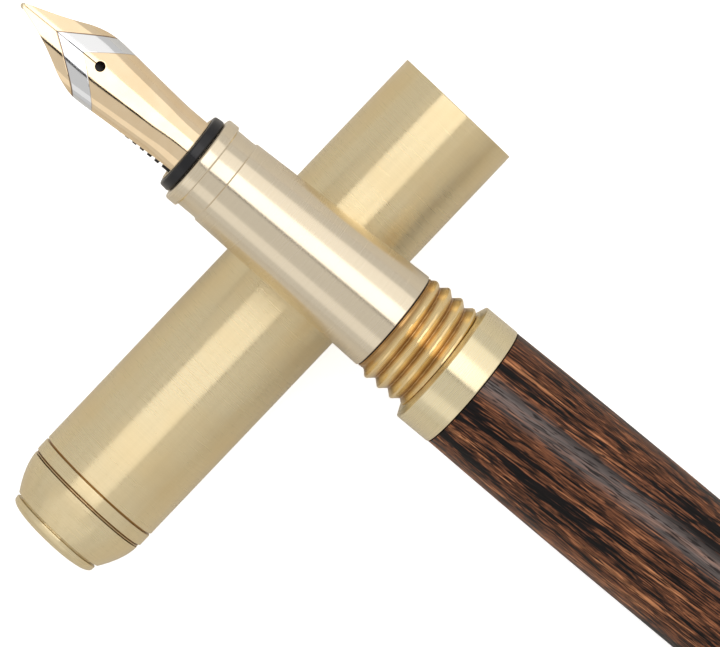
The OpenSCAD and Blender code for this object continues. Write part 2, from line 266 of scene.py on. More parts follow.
def turnedMetal(name, look):
    material, tree, shader, coords = newMaterial(name)
    shader.inputs["Metallic"].default_value = 1.0
    shader.inputs["Anisotropic"].default_value = look["brushing"]
    shader.inputs["Anisotropic Rotation"].default_value = 0.25
    around = addNode(tree, "ShaderNodeTangent", direction_type="RADIAL", axis=look["axis"])
    link(tree, around.outputs["Tangent"], shader.inputs["Tangent"])
    lines = useGroup(tree, turningLines, coords, Per_Metre=look["linesPerMetre"])
    streaks = useGroup(tree, lengthStreaks, coords, Across=look["streakAcross"],
                       Along=look["streakAlong"])
    marks = useGroup(tree, handMarks, coords, Scale=look["markScale"])
    lineShade = product(tree, difference(tree, lines, 0.5), look["lineShade"])
    streakShade = product(tree, difference(tree, streaks, 0.5), look["streakShade"])
    shade = total(tree, total(tree, lineShade, streakShade), 0.5, clamp=True)
    tint = mixColor(tree, shade, look["dark"], look["light"])
    warm = remap(tree, marks, 0.42, 0.7, 0.0, look["warmth"])
    tint = mixColor(tree, warm, tint, look["warm"])
    if "grooveRadius" in look:
        # a darker colour in the bottom of grooves
        flat = addNode(tree, "ShaderNodeVectorMath", operation="LENGTH")
        link(tree, scaleVector(tree, coords, (1 / mm, 1 / mm, 0.0)), flat.inputs[0])
        bottom, rim = look["grooveRadius"]
        depth = remap(tree, flat.outputs["Value"], bottom, rim, look["grooveWeight"], 0.0)
        tint = mixColor(tree, depth, tint, look["grooveColor"])
    link(tree, tint, shader.inputs["Base Color"])
    smoothest, roughest = look["roughness"] - look["roughSpread"], look["roughness"] + look["roughSpread"]
    rough = total(tree, remap(tree, lines, 0.3, 0.7, smoothest, roughest),
                  remap(tree, marks, 0.35, 0.75, 0.0, look["markRough"]))
    link(tree, rough, shader.inputs["Roughness"])
    height = total(tree, product(tree, lines, look["lineDepth"]),
                   product(tree, streaks, look["streakDepth"]))
    addBump(tree, shader, height, look["bump"], 0.00002)
    return material


sectionBrassLook = {
    "dark": (0.68, 0.59, 0.44), "light": (0.90, 0.81, 0.65), "warm": (0.86, 0.74, 0.54), "warmth": 0.25,
    "linesPerMetre": 9000.0, "streakAcross": 900.0, "streakAlong": 20.0, "markScale": 160.0,
    "lineShade": 0.45, "streakShade": 0.2, "roughness": 0.23, "roughSpread": 0.04, "markRough": 0.04,
    "lineDepth": 1.0, "streakDepth": 0.2, "bump": 0.1, "brushing": 0.8, "axis": "X",
}
capBrassLook = dict(
    sectionBrassLook, dark=(0.68, 0.57, 0.335), light=(0.95, 0.82, 0.55), warm=(0.88, 0.70, 0.39),
    warmth=0.6, markScale=120.0,
    linesPerMetre=6000.0, streakAcross=1300.0, streakAlong=14.0, lineShade=0.7, streakShade=0.5,
    roughness=0.28, roughSpread=0.06, markRough=0.08, streakDepth=0.5, bump=0.17, brushing=0.95, axis="Y",
)
tailBrassLook = dict(capBrassLook, axis="X")
capGrooveLook = dict(
    capBrassLook, grooveRadius=(6.9, 7.08), grooveWeight=0.9, grooveColor=(0.40, 0.20, 0.05),
)
tailGrooveLook = dict(capGrooveLook, grooveRadius=(6.95, 7.12), axis="X")
collarBrassLook = dict(
    sectionBrassLook, dark=(0.72, 0.62, 0.39), light=(0.94, 0.84, 0.58), roughness=0.26,
    lineShade=0.6, bump=0.14,
)
threadBrassLook = dict(
    sectionBrassLook, dark=(0.80, 0.58, 0.27), light=(0.97, 0.80, 0.47), warm=(0.80, 0.56, 0.26),
    warmth=0.6, roughness=0.24, roughSpread=0.05, lineShade=0.7, bump=0.14, brushing=0.4,
    grooveRadius=(5.6, 5.9), grooveWeight=0.8, grooveColor=(0.36, 0.18, 0.05),
)
innerBrassLook = dict(capBrassLook, light=(0.78, 0.64, 0.36), roughness=0.38, axis="X")
steelLook = dict(
    sectionBrassLook, dark=(0.50, 0.51, 0.53), light=(0.80, 0.81, 0.83), warm=(0.66, 0.65, 0.64),
    roughness=0.25,
)
sectionBrass = turnedMetal("sectionBrass", sectionBrassLook)
capBrass = turnedMetal("capBrass", capBrassLook)
tailBrass = turnedMetal("tailBrass", tailBrassLook)
capGrooveBrass = turnedMetal("capGrooveBrass", capGrooveLook)
tailGrooveBrass = turnedMetal("tailGrooveBrass", tailGrooveLook)
collarBrass = turnedMetal("collarBrass", collarBrassLook)
threadBrass = turnedMetal("threadBrass", threadBrassLook)
innerBrass = turnedMetal("innerBrass", innerBrassLook)
platedSteel = turnedMetal("platedSteel", steelLook)


def mouldedMaterial(name, color, roughness, coat=0.0):
    material, tree, shader, coords = newMaterial(name)
    marks = useGroup(tree, handMarks, coords, Scale=220.0)
    grainPerMetre, spread = 9000.0, 0.06
    grain = noise(tree, coords, grainPerMetre)
    lifted = tuple(min(1.0, c * 1.5 + 0.01) for c in color)
    link(tree, mixColor(tree, marks, color, lifted), shader.inputs["Base Color"])
    link(tree, remap(tree, marks, 0.3, 0.7, roughness - spread, roughness + spread),
         shader.inputs["Roughness"])
    shader.inputs["Coat Weight"].default_value = coat
    shader.inputs["Specular IOR Level"].default_value = 0.3
    addBump(tree, shader, grain, 0.06, 0.00001)
    return material


sealRubber = mouldedMaterial("sealRubber", (0.003, 0.0035, 0.006), 0.28, coat=0.15)
feedPlastic = mouldedMaterial("feedPlastic", (0.008, 0.008, 0.009), 0.38)
pistonPlastic = mouldedMaterial("pistonPlastic", (0.03, 0.03, 0.033), 0.35)
linerPlastic = mouldedMaterial("linerPlastic", (0.015, 0.015, 0.017), 0.5)


def clearPlastic():
    material, tree, shader, coords = newMaterial("clearPlastic")
    shader.inputs["Transmission Weight"].default_value = 1.0
    shader.inputs["IOR"].default_value = 1.49
    marks = useGroup(tree, handMarks, coords, Scale=240.0)
    link(tree, mixColor(tree, marks, (0.86, 0.90, 0.93), (0.96, 0.98, 1.0)),
         shader.inputs["Base Color"])
    link(tree, remap(tree, marks, 0.3, 0.7, 0.03, 0.10), shader.inputs["Roughness"])
    return material


converterPlastic = clearPlastic()

woodLook = {
    "dark": (0.006, 0.004, 0.0045), "brown": (0.075, 0.028, 0.015), "orange": (0.235, 0.088, 0.04),
    "straw": (0.44, 0.19, 0.085),
    # the grain slants a little across the barrel and sways: slope, metres, waves per metre
    "slant": math.tan(math.radians(4.3)), "sway": 0.0022, "swayAcross": 130.0, "swayAlong": 22.0,
    # grain per metre, across the barrel and along it, and its share in the depth of the wood
    "bandScale": 1200.0, "alongBand": 44.0, "bandDepth": 0.7, "broadShare": 0.33, "broadDepth": 0.6,
    "fibreScale": 5600.0, "alongFibre": 260.0, "poreScale": 5200.0, "alongPore": 520.0,
    "bandWeight": 0.6, "broadWeight": 0.22, "fibreWeight": 0.18,
    "roughness": 0.42, "coat": 0.04, "coatRoughness": 0.28, "specular": 0.14,
    # painted sheen: colour, station its place is measured from, side offset and drift, half width (m)
    "sheen": (0.215, 0.178, 0.17), "sheenStation": 0.059, "sheenAt": -0.00125, "sheenDrift": -0.02,
    "sheenHalf": 0.0015, "sheenRagged": 0.0022, "sheenWeight": 0.75,
}


def sheenStreak(tree, look, depth, across, along, fibres):
    # mask of a paler streak painted along the upper side, which stands for a soft sheen of light
    run = difference(tree, along, look["sheenStation"])
    middle = total(tree, product(tree, run, look["sheenDrift"]), look["sheenAt"])
    off = mathNode(tree, "ABSOLUTE", difference(tree, across, middle))
    ragged = total(tree, off, product(tree, difference(tree, fibres, 0.5), look["sheenRagged"]))
    width = remap(tree, ragged, look["sheenHalf"] * 0.25, look["sheenHalf"], 1.0, 0.0)
    topSide = remap(tree, depth, 0.0, 0.003, 0.0, look["sheenWeight"])
    greyed = product(tree, width, topSide, clamp=True)
    return product(tree, greyed, remap(tree, fibres, 0.38, 0.58, 0.35, 1.0))


def hardwood(look):
    material, tree, shader, coords = newMaterial("hardwood")
    depth, side, along = splitAxes(tree, coords)
    across = total(tree, side, product(tree, along, look["slant"]))
    waves = joinAxes(tree, product(tree, depth, look["swayAcross"]),
                     product(tree, across, look["swayAcross"]), product(tree, along, look["swayAlong"]))
    sway = product(tree, difference(tree, noise(tree, waves, 1.0, 2.0), 0.5), look["sway"])
    across = total(tree, across, sway)

    def grain(scale, alongScale, depthShare=1.0):
        return joinAxes(tree, product(tree, depth, scale * depthShare), product(tree, across, scale),
                        product(tree, along, alongScale))

    bands = noise(tree, grain(look["bandScale"], look["alongBand"], look["bandDepth"]), 1.0, 4.0, 0.62)
    broadScale = look["bandScale"] * look["broadShare"]
    broad = noise(tree, grain(broadScale, look["alongBand"], look["broadDepth"]), 1.0, 2.0, 0.5)
    fibres = noise(tree, grain(look["fibreScale"], look["alongFibre"]), 1.0, 3.0, 0.6)
    pores = noise(tree, grain(look["poreScale"], look["alongPore"]), 1.0, 1.0, 0.4)
    tone = total(tree, product(tree, bands, look["bandWeight"]), product(tree, broad, look["broadWeight"]))
    tone = total(tree, tone, product(tree, fibres, look["fibreWeight"]))
    base = ramp(tree, tone, [
        (0.0, look["dark"]), (0.472, look["dark"]), (0.490, look["brown"]), (0.515, look["orange"]),
        (0.538, look["brown"]), (0.56, look["orange"]), (0.62, look["straw"]),
    ])
    lit = addNode(tree, "ShaderNodeVectorMath", operation="SCALE")
    link(tree, base, lit.inputs[0])
    link(tree, remap(tree, fibres, 0.36, 0.64, 0.06, 1.45), lit.inputs["Scale"])
    poreMask = product(tree, remap(tree, pores, 0.36, 0.42, 1.0, 0.0), 0.8, clamp=True)
    greyed = sheenStreak(tree, look, depth, side, along, fibres)
    shaded = mixColor(tree, greyed, lit.outputs[0], look["sheen"])
    link(tree, mixColor(tree, poreMask, shaded, look["dark"]), shader.inputs["Base Color"])
    link(tree, remap(tree, fibres, 0.3, 0.7, look["roughness"] - 0.08, look["roughness"] + 0.12),
         shader.inputs["Roughness"])
    shader.inputs["Specular IOR Level"].default_value = look["specular"]
    shader.inputs["Coat Weight"].default_value = look["coat"]
    shader.inputs["Coat Roughness"].default_value = look["coatRoughness"]
    addBump(tree, shader, difference(tree, product(tree, fibres, 0.6), poreMask), 0.35, 0.00004)
    return material


barrelTimber = hardwood(woodLook)
print("materials ready")


def roundedOutline(outline, steps=6):
    # each corner is [radius, station] or [radius, station, fillet]
    points = []
    count = len(outline)
    for i, corner in enumerate(outline):
        here = Vector(corner[:2])
        fillet = corner[2] if len(corner) > 2 else 0.0
        if fillet <= 0:
            points.append(here)
            continue
        before = Vector(outline[i - 1][:2]) - here
        after = Vector(outline[(i + 1) % count][:2]) - here
        half = before.angle(after) / 2
        reach = min(fillet / math.tan(half), before.length * 0.49, after.length * 0.49)
        a, b = here + before.normalized() * reach, here + after.normalized() * reach
        for k in range(steps + 1):
            t = k / steps
            points.append(a * (1 - t) ** 2 + here * 2 * t * (1 - t) + b * t ** 2)
    return points


def splitLong(points, longest):
    out = []
    for i, a in enumerate(points):
        b = points[(i + 1) % len(points)]
        pieces = max(1, math.ceil((b - a).length / longest))
        out += [a.lerp(b, k / pieces) for k in range(pieces)]
    return out


def threadRadius(thread, station, angle):
    # single right-hand ridge: flat crest, sloping flanks, fading out over part of a turn at both ends
    turn = (station - thread["start"]) / thread["pitch"] - angle / (2 * math.pi)
    phase = abs(turn - math.floor(turn) - 0.5)
    half = thread["flat"] / thread["pitch"] / 2
    flank = thread["flank"] / thread["pitch"]
    ridge = min(1.0, max(0.0, 1 - (phase - half) / flank))
    fadeIn = (station - thread["start"]) / thread["fadeIn"]
    fadeOut = (thread["end"] - station) / thread["fadeOut"]
    fade = max(0.0, min(1.0, fadeIn, fadeOut))
    return thread["root"] + (thread["crest"] - thread["root"]) * ridge * fade


def onThread(point, thread):
    near = 1e-4
    inBand = thread["start"] - near <= point.y <= thread["end"] + near
    return inBand and abs(point.x - thread["crest"]) < near


def splitThread(points, thread):
    # short steps along the threaded stretch only
    out = []
    for i, a in enumerate(points):
        b = points[(i + 1) % len(points)]
        pieces = 1
        if onThread(a, thread) and onThread(b, thread):
            pieces = max(1, math.ceil((b - a).length / thread["step"]))
        out += [a.lerp(b, k / pieces) for k in range(pieces)]
    return out


def surfaceRadius(point, angle, thread, flutes):
    radius = point.x
    if thread and onThread(point, thread):
        radius = threadRadius(thread, point.y, angle)
    if flutes and abs(point.x - flutes["radius"]) < 1e-4 and flutes["start"] <= point.y <= flutes["end"]:
        radius -= flutes["depth"] * max(0.0, math.cos(flutes["count"] * angle)) ** 2
    return radius


def ringFace(ring):
    # drops repeated corners, which come up where a ring closes on the axis
    face = [corner for n, corner in enumerate(ring) if corner not in ring[:n]]
    return face if len(face) > 2 else None


def latheMesh(name, part):
    thread, flutes = part.get("thread"), part.get("flutes")
    segments = part.get("segments", 160)
    points = splitLong(roundedOutline(part["outline"]), part.get("longest", 4.0))
    if thread:
        points = splitThread(points, thread)
    verts, faces, rows = [], [], []
    for p in points:
        if p.x < 1e-6:
            verts.append((0, 0, p.y * mm))
            rows.append([len(verts) - 1] * segments)
            continue
        rows.append(list(range(len(verts), len(verts) + segments)))
        for k in range(segments):
            angle = 2 * math.pi * k / segments
            radius = surfaceRadius(p, angle, thread, flutes)
            verts.append((radius * math.cos(angle) * mm, radius * math.sin(angle) * mm, p.y * mm))
    for i, row in enumerate(rows):
        after = rows[(i + 1) % len(rows)]
        if row[0] == row[1] and after[0] == after[1]:
            continue
        for k in range(segments):
            j = (k + 1) % segments
            face = ringFace([row[k], row[j], after[j], after[k]])
            if face:
                faces.append(face)
    mesh = bpy.data.meshes.new(name)
    mesh.from_pydata(verts, [], faces)
    mesh.update()
    return mesh


def finishMesh(piece, material, smoothAngle=28):
    piece.data.materials.append(material)
    bm = bmesh.new()
    bm.from_mesh(piece.data)
    bmesh.ops.recalc_face_normals(bm, faces=bm.faces)
    bm.to_mesh(piece.data)
    bm.free()
    piece.data.shade_smooth()
    piece.data.set_sharp_from_angle(angle=math.radians(smoothAngle))


def settle(piece, place):
    # keeps the piece's own coordinates for its material, then moves the mesh itself to its place
    mesh = piece.data
    own = mesh.attributes.new("pieceCoords", "FLOAT_VECTOR", "POINT")
    own.data.foreach_set("vector", [c for vert in mesh.vertices for c in vert.co])
    mesh.transform(place)
    mesh.update()


def placePiece(piece, place, body, node):
    settle(piece, place)
    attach(piece, body)
    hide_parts(node)


def turnedPiece(name, part, place, body, node):
    piece = bpy.data.objects.new(name, latheMesh(name, part))
    bpy.context.scene.collection.objects.link(piece)
    finishMesh(piece, part["material"])
    placePiece(piece, place, body, node)


sectionGrip = {
    "material": sectionBrass, "slot": "section_brass", "longest": 2.0,
    "outline": [
        [3.6, 22.0], [3.62, 21.86, 0.04], [3.78, 21.86, 0.05], [3.7, 22.05], [3.7, 23.2],
        [4.5, 23.2, 0.2], [5.0, 23.3, 0.62], [5.0, 24.6, 0.6], [4.7, 24.6, 0.12],
        [4.7, 26.88, 0.04], [4.87, 27.0, 0.05], [5.67, 48.64, 0.08], [4.55, 48.7],
        [4.55, 49.4], [4.55, 55.2], [4.25, 55.58, 0.05], [3.95, 55.6], [3.95, 44.0], [3.6, 44.0],
    ],
    "thread": {"start": 49.4, "end": 55.2, "pitch": 0.75, "crest": 4.55, "root": 4.25, "flat": 0.12,
               "flank": 0.3, "fadeIn": 0.5, "fadeOut": 0.3, "step": 0.06},
}
sectionOring = {
    "material": sealRubber, "slot": "seal_rubber",
    "outline": [[3.74, 21.98, 0.3], [4.32, 21.98, 0.5], [4.44, 23.17, 0.45], [3.74, 23.17, 0.2]],
}
sectionWasher = {
    "material": sealRubber, "slot": "seal_rubber",
    "outline": [[4.6, 48.68], [5.42, 48.68, 0.03], [5.42, 48.78, 0.03], [4.6, 48.78]],
}
nibHousing = {
    "material": feedPlastic, "slot": "feed_plastic",
    "outline": [
        [3.2, 22.35], [3.55, 22.35, 0.08], [3.55, 44.0, 0.15], [1.25, 44.0], [1.25, 49.5, 0.25], [0.5, 49.5],
        [0.5, 38.0], [3.2, 38.0],
    ],
}
turnedPiece("sectionGrip", sectionGrip, penPlace, "section", "section_grip")
turnedPiece("sectionOring", sectionOring, penPlace, "oring", "section_oring")
turnedPiece("sectionWasher", sectionWasher, penPlace, "washer", "section_washer")
turnedPiece("nibHousing", nibHousing, penPlace, "section", "nib_housing")
print("section turned")


barrel = {"start": 59.1, "end": 121.5, "fullAt": 82.1, "startRadius": 6.98, "fullRadius": 7.2, "bore": 5.4}


def woodRadius(station):
    # a slight swell from the collar to full width
    t = min(1.0, (station - barrel["start"]) / (barrel["fullAt"] - barrel["start"]))
    return barrel["fullRadius"] - (barrel["fullRadius"] - barrel["startRadius"]) * (1 - t) ** 2


def woodOutline(steps=40):
    length = barrel["end"] - barrel["start"]
    stations = [barrel["start"] + length * i / steps for i in range(steps + 1)]
    swell = [[woodRadius(s), s] for s in stations]
    return [[barrel["bore"], barrel["start"]]] + swell + [[barrel["bore"], barrel["end"]]]


frontCoupler = {
    "material": threadBrass, "slot": "coupler_brass", "segments": 224,
    "outline": [
        [4.66, 48.78], [5.5, 48.78, 0.05], [5.58, 48.86, 0.04], [5.58, 48.9], [6.1, 48.95], [6.1, 54.9],
        [5.6, 54.95], [5.6, 58.85], [5.35, 58.9], [5.35, 66.0, 0.1], [4.66, 66.0],
    ],
    "thread": {"start": 48.95, "end": 54.9, "pitch": 1.6, "crest": 6.1, "root": 5.52, "flat": 0.2,
               "flank": 0.66, "fadeIn": 0.9, "fadeOut": 0.3, "step": 0.05},
}
couplerCollar = {
    "material": collarBrass, "slot": "coupler_brass",
    "outline": [
        [5.62, 54.7], [6.15, 54.72, 0.05], [7.05, 55.1, 0.1], [7.05, 58.98, 0.12], [5.62, 59.0],
    ],
}
barrelWood = {
    "material": barrelTimber, "slot": "barrel_timber", "segments": 192,
    "outline": woodOutline(),
}
barrelLiner = {
    "material": innerBrass, "slot": "inner_brass",
    "outline": [[4.75, 66.3], [5.35, 66.3, 0.06], [5.35, 119.5, 0.06], [4.75, 119.5]],
}
turnedPiece("frontCoupler", frontCoupler, penPlace, "barrel", "front_coupler")
turnedPiece("couplerCollar", couplerCollar, penPlace, "barrel", "front_coupler")
turnedPiece("barrelWood", barrelWood, penPlace, "barrel", "barrel_wood")
turnedPiece("barrelLiner", barrelLiner, penPlace, "barrel", "barrel_liner")


def domeOutline(outer, start, neck, height):
    # straight shoulder that falls in a smooth curve to the neck
    steps, fall = 14, 1.7
    shares = [k / steps for k in range(steps + 1)]
    return [[outer - (outer - neck) * share ** fall, start + height * share] for share in shares]


def buttonOutline(outer, shoulder, end):
    # low rounded end: a quarter of a flattened oval from the shoulder to the middle
    steps, power = 12, 2 / 2.6
    out = []
    for k in range(steps):
        angle = math.pi / 2 * k / steps
        rise = math.sin(angle) ** power
        out.append([outer * math.cos(angle) ** power, shoulder + (end - shoulder) * rise])
    return out + [[0.0, end]]


tailRing = {
    "material": tailGrooveBrass, "slot": "tail_brass",
    "outline": [
        [1.5, 119.9], [5.35, 119.9, 0.1], [5.35, 121.55], [7.2, 121.55, 0.05], [7.2, 123.0, 0.32],
        [6.8, 123.0, 0.05], [6.8, 123.3], [1.5, 123.3],
    ],
}
tailDome = {
    "material": tailBrass, "slot": "tail_brass",
    "outline": [[1.5, 123.34]] + domeOutline(6.99, 123.34, 5.5, 4.07) + [[1.5, 127.41]],
}
tailButton = {
    "material": tailBrass, "slot": "tail_brass",
    "outline": [
        [1.5, 127.45], [4.7, 127.45], [4.7, 127.69], [5.34, 127.7, 0.08],
    ] + buttonOutline(5.34, 127.9, 129.2) + [[0, 128.65], [1.5, 128.65]],
}
tailStud = {
    "material": platedSteel, "slot": "converter_steel", "segments": 48,
    "outline": [[0, 120.1], [1.47, 120.1, 0.2], [1.47, 128.6, 0.2], [0, 128.6]],
    "thread": {"start": 120.4, "end": 128.3, "pitch": 0.5, "crest": 1.47, "root": 1.25, "flat": 0.08,
               "flank": 0.2, "fadeIn": 0.3, "fadeOut": 0.3, "step": 0.06},
}
turnedPiece("tailRing", tailRing, penPlace, "barrel", "tail_ring")
turnedPiece("tailDome", tailDome, penPlace, "barrel", "tail_dome")
turnedPiece("tailButton", tailButton, penPlace, "barrel", "tail_button")
turnedPiece("tailStud", tailStud, penPlace, "barrel", "tail_stud")
print("barrel turned")


converterTube = {
    "material": converterPlastic, "slot": "converter_clear",
    "outline": [
        [1.34, 44.55], [3.3, 44.55, 0.15], [3.55, 45.1, 0.1], [3.55, 79.0], [2.9, 79.0],
        [2.9, 50.6, 0.4], [1.34, 50.6],
    ],
}
converterSleeve = {
    "material": platedSteel, "slot": "converter_steel",
    "outline": [[3.58, 70.5], [3.75, 70.5, 0.06], [3.75, 92.0, 0.06], [3.58, 92.0]],
}
converterGuide = {
    "material": pistonPlastic, "slot": "piston_plastic",
    "outline": [
        [1.46, 79.05], [3.54, 79.05, 0.1], [3.54, 92.05], [2.36, 92.05], [2.36, 80.5], [1.46, 80.5],
    ],
}
converterKnob = {
    "material": platedSteel, "slot": "converter_steel", "segments": 192, "longest": 0.8,
    "outline": [
        [0, 110.7], [0, 111.5], [3.58, 111.5, 0.5], [3.58, 92.3, 0.3], [2.3, 92.3], [2.3, 80.65, 0.15],
        [1.46, 80.65], [1.46, 110.7],
    ],
    "flutes": {"radius": 3.58, "start": 94.2, "end": 107.0, "count": 24, "depth": 0.16},
}
pistonRod = {
    "material": pistonPlastic, "slot": "piston_plastic", "segments": 64,
    "outline": [[0, 56.55], [1.38, 56.55], [1.38, 88.4, 0.25], [0, 88.4]],
    "thread": {"start": 58.0, "end": 88.0, "pitch": 2.93, "crest": 1.38, "root": 1.05, "flat": 0.9,
               "flank": 0.5, "fadeIn": 0.6, "fadeOut": 0.4, "step": 0.12},
}
pistonCore = {
    "material": pistonPlastic, "slot": "piston_plastic",
    "outline": [[0, 51.52], [1.6, 51.52, 0.3], [1.6, 55.9], [2.5, 55.9, 0.1], [2.5, 56.5, 0.1], [0, 56.5]],
}
pistonSeal = {
    "material": sealRubber, "slot": "seal_rubber",
    "outline": [
        [1.62, 51.85], [2.8, 51.85, 0.15], [2.87, 52.5, 0.15], [2.4, 53.0, 0.25], [2.4, 54.7, 0.25],
        [2.87, 55.2, 0.15], [2.8, 55.85, 0.15], [1.62, 55.85],
    ],
}
turnedPiece("converterTube", converterTube, penPlace, "converter", "converter_tube")
turnedPiece("converterSleeve", converterSleeve, penPlace, "converter", "converter_sleeve")
turnedPiece("converterGuide", converterGuide, penPlace, "converter", "converter_guide")
turnedPiece("converterKnob", converterKnob, penPlace, "knob", "converter_knob")
turnedPiece("pistonRod", pistonRod, penPlace, "piston", "piston_rod")
turnedPiece("pistonCore", pistonCore, penPlace, "piston", "piston_core")
turnedPiece("pistonSeal", pistonSeal, penPlace, "piston", "piston_seal")
print("converter turned")


capLength = 60.5
tubeEnd = capLength - 7.7
ringStart = tubeEnd + 0.2
ringEnd = ringStart + 1.4
domeStart = ringEnd + 0.4
domeEnd = domeStart + 4.1
liningEnd = domeStart + 1.5

capTube = {
    "material": capBrass, "slot": "cap_brass", "longest": 6.0, "segments": 192,
    "outline": [
        [6.6, 0.0, 0.03], [7.15, 0.0, 0.07], [7.15, tubeEnd, 0.08], [5.9, tubeEnd], [5.9, 8.0], [6.15, 7.75],
        [6.15, 7.0], [6.15, 0.9], [6.15, 0.45],
    ],
    "thread": {"start": 0.9, "end": 7.0, "pitch": 1.6, "crest": 6.15, "root": 6.62, "flat": 0.62,
               "flank": 0.45, "fadeIn": 0.4, "fadeOut": 0.5, "step": 0.08},
}
capRing = {
    "material": capGrooveBrass, "slot": "cap_brass",
    "outline": [
        [5.9, tubeEnd + 0.02], [6.7, tubeEnd + 0.02], [6.7, ringStart], [7.15, ringStart + 0.02, 0.04],
        [7.15, ringEnd, 0.12], [6.6, ringEnd, 0.04], [6.6, ringEnd + 0.13], [7.0, ringEnd + 0.15, 0.03],
        [7.0, ringEnd + 0.25, 0.03], [6.6, ringEnd + 0.27], [6.6, ringEnd + 0.33], [5.9, ringEnd + 0.33],
    ],
}
capDome = {
    "material": capBrass, "slot": "cap_brass",
    "outline": [[5.06, tubeEnd - 3.5], [5.88, tubeEnd - 3.5, 0.1], [5.88, domeStart - 0.02]]
               + domeOutline(7.04, domeStart - 0.02, 5.5, 4.09)
               + [[1.5, domeEnd - 0.05], [1.5, liningEnd + 0.02], [5.06, liningEnd + 0.02]],
}
capLiner = {
    "material": linerPlastic, "slot": "liner_plastic",
    "outline": [
        [4.4, 32.3, 0.15], [5.88, 32.3, 0.2], [5.88, tubeEnd - 3.55], [5.03, tubeEnd - 3.55],
        [5.03, liningEnd, 0.3], [0, liningEnd], [0, liningEnd - 0.6], [4.4, liningEnd - 0.6, 0.8],
    ],
}
studStart, studEnd = liningEnd + 0.12, capLength - 0.62
capStud = dict(
    tailStud,
    outline=[[0, studStart], [1.47, studStart, 0.15], [1.47, studEnd, 0.15], [0, studEnd]],
    thread=dict(tailStud["thread"], start=liningEnd + 0.3, end=capLength - 0.8),
)
capButton = {
    "material": capBrass, "slot": "cap_brass",
    "outline": [
        [1.5, domeEnd + 0.03], [4.7, domeEnd + 0.03], [4.7, domeEnd + 0.25], [5.34, domeEnd + 0.26, 0.08],
    ] + buttonOutline(5.34, domeEnd + 0.5, capLength) + [[0, capLength - 0.55], [1.5, capLength - 0.55]],
}
turnedPiece("capTube", capTube, capPlace, "cap", "cap_tube")
turnedPiece("capRing", capRing, capPlace, "cap", "cap_ring")
turnedPiece("capDome", capDome, capPlace, "cap", "cap_dome")
turnedPiece("capLiner", capLiner, capPlace, "cap", "cap_liner")
turnedPiece("capStud", capStud, capPlace, "cap", "cap_stud")
turnedPiece("capButton", capButton, capPlace, "cap", "cap_button")
print("cap turned")


nib = {
    "roll": 14.0, "holeAt": 9.9, "holeRadius": 0.52, "slitHalf": 0.035, "thickness": 0.35, "end": 33.9,
    "plan": [  # half the width at each station
        (0.35, 0.26), (0.8, 0.4), (2.0, 0.8), (3.2, 1.22), (4.5, 1.72), (6.0, 2.38), (7.0, 2.8),
        (8.0, 3.12), (8.9, 3.32), (9.8, 3.4), (11.0, 3.36), (14.0, 3.14), (19.0, 2.8), (22.0, 2.74),
        (33.9, 2.6),
    ],
    "crown": [  # height of the middle above the pen's axis
        (0.35, 2.88), (3.0, 3.06), (6.0, 3.26), (8.4, 3.43), (9.8, 3.5), (11.0, 3.48), (15.0, 3.31),
        (19.0, 3.15), (33.9, 3.15),
    ],
    "topCurve": [  # radius of the shallow arc across the top
        (0.35, 5.2), (5.5, 5.4), (9.0, 5.9), (14.0, 4.84), (18.0, 4.0), (22.0, 3.15), (33.9, 3.15),
    ],
    "topAngle": math.radians(24), "flankCurve": 1.9, "flankEnd": 0.95, "roundFrom": 18.0, "roundOver": 3.5,
    "rowStep": 0.14, "columns": 30, "widest": 0.995,
}
nibPlace = penPlace @ Matrix.Rotation(math.radians(-nib["roll"]), 4, "Z")


def smoothAt(table, x):
    # smooth curve through a short list of points
    i = max(0, min(len(table) - 2, sum(1 for p in table if p[0] <= x) - 1))
    (x0, y0), (x1, y1) = table[i], table[i + 1]
    before = table[i - 1] if i > 0 else (2 * x0 - x1, 2 * y0 - y1)
    after = table[i + 2] if i + 2 < len(table) else (2 * x1 - x0, 2 * y1 - y0)
    m0 = (y1 - before[1]) / (x1 - before[0]) * (x1 - x0)
    m1 = (after[1] - y0) / (after[0] - x0) * (x1 - x0)
    t = (x - x0) / (x1 - x0)
    return ((2 * t ** 3 - 3 * t ** 2 + 1) * y0 + (t ** 3 - 2 * t ** 2 + t) * m0
            + (3 * t ** 2 - 2 * t ** 3) * y1 + (t ** 3 - t ** 2) * m1)


def nibInnerEdge(station):
    # half the opening along the middle: the slit, then the round breather hole, then nothing
    d = station - nib["holeAt"]
    hole = math.sqrt(max(0.0, nib["holeRadius"] ** 2 - d * d))
    if d < 0:
        return max(hole, nib["slitHalf"])
    return hole


def nibStations():
    r, c = nib["holeRadius"], nib["holeAt"]
    rows = []
    s = nib["plan"][0][0]
    while s < c - r - 0.05:
        rows.append(s)
        s += nib["rowStep"]
    rows += [c - r * math.cos(math.pi * k / 20) for k in range(21)]
    s = c + r + 0.1
    while s < nib["end"]:
        rows.append(s)
        s += nib["rowStep"] if s < 12 else nib["rowStep"] * 3
    return rows + [nib["end"]]


def roundSection(crown, half, inner, share):
    # height and half-width on a plain round arc
    start, end = math.asin(inner / crown), math.asin(min(half / crown, nib["widest"]))
    angle = start + (end - start) * share
    return crown * math.cos(angle), crown * math.sin(angle)


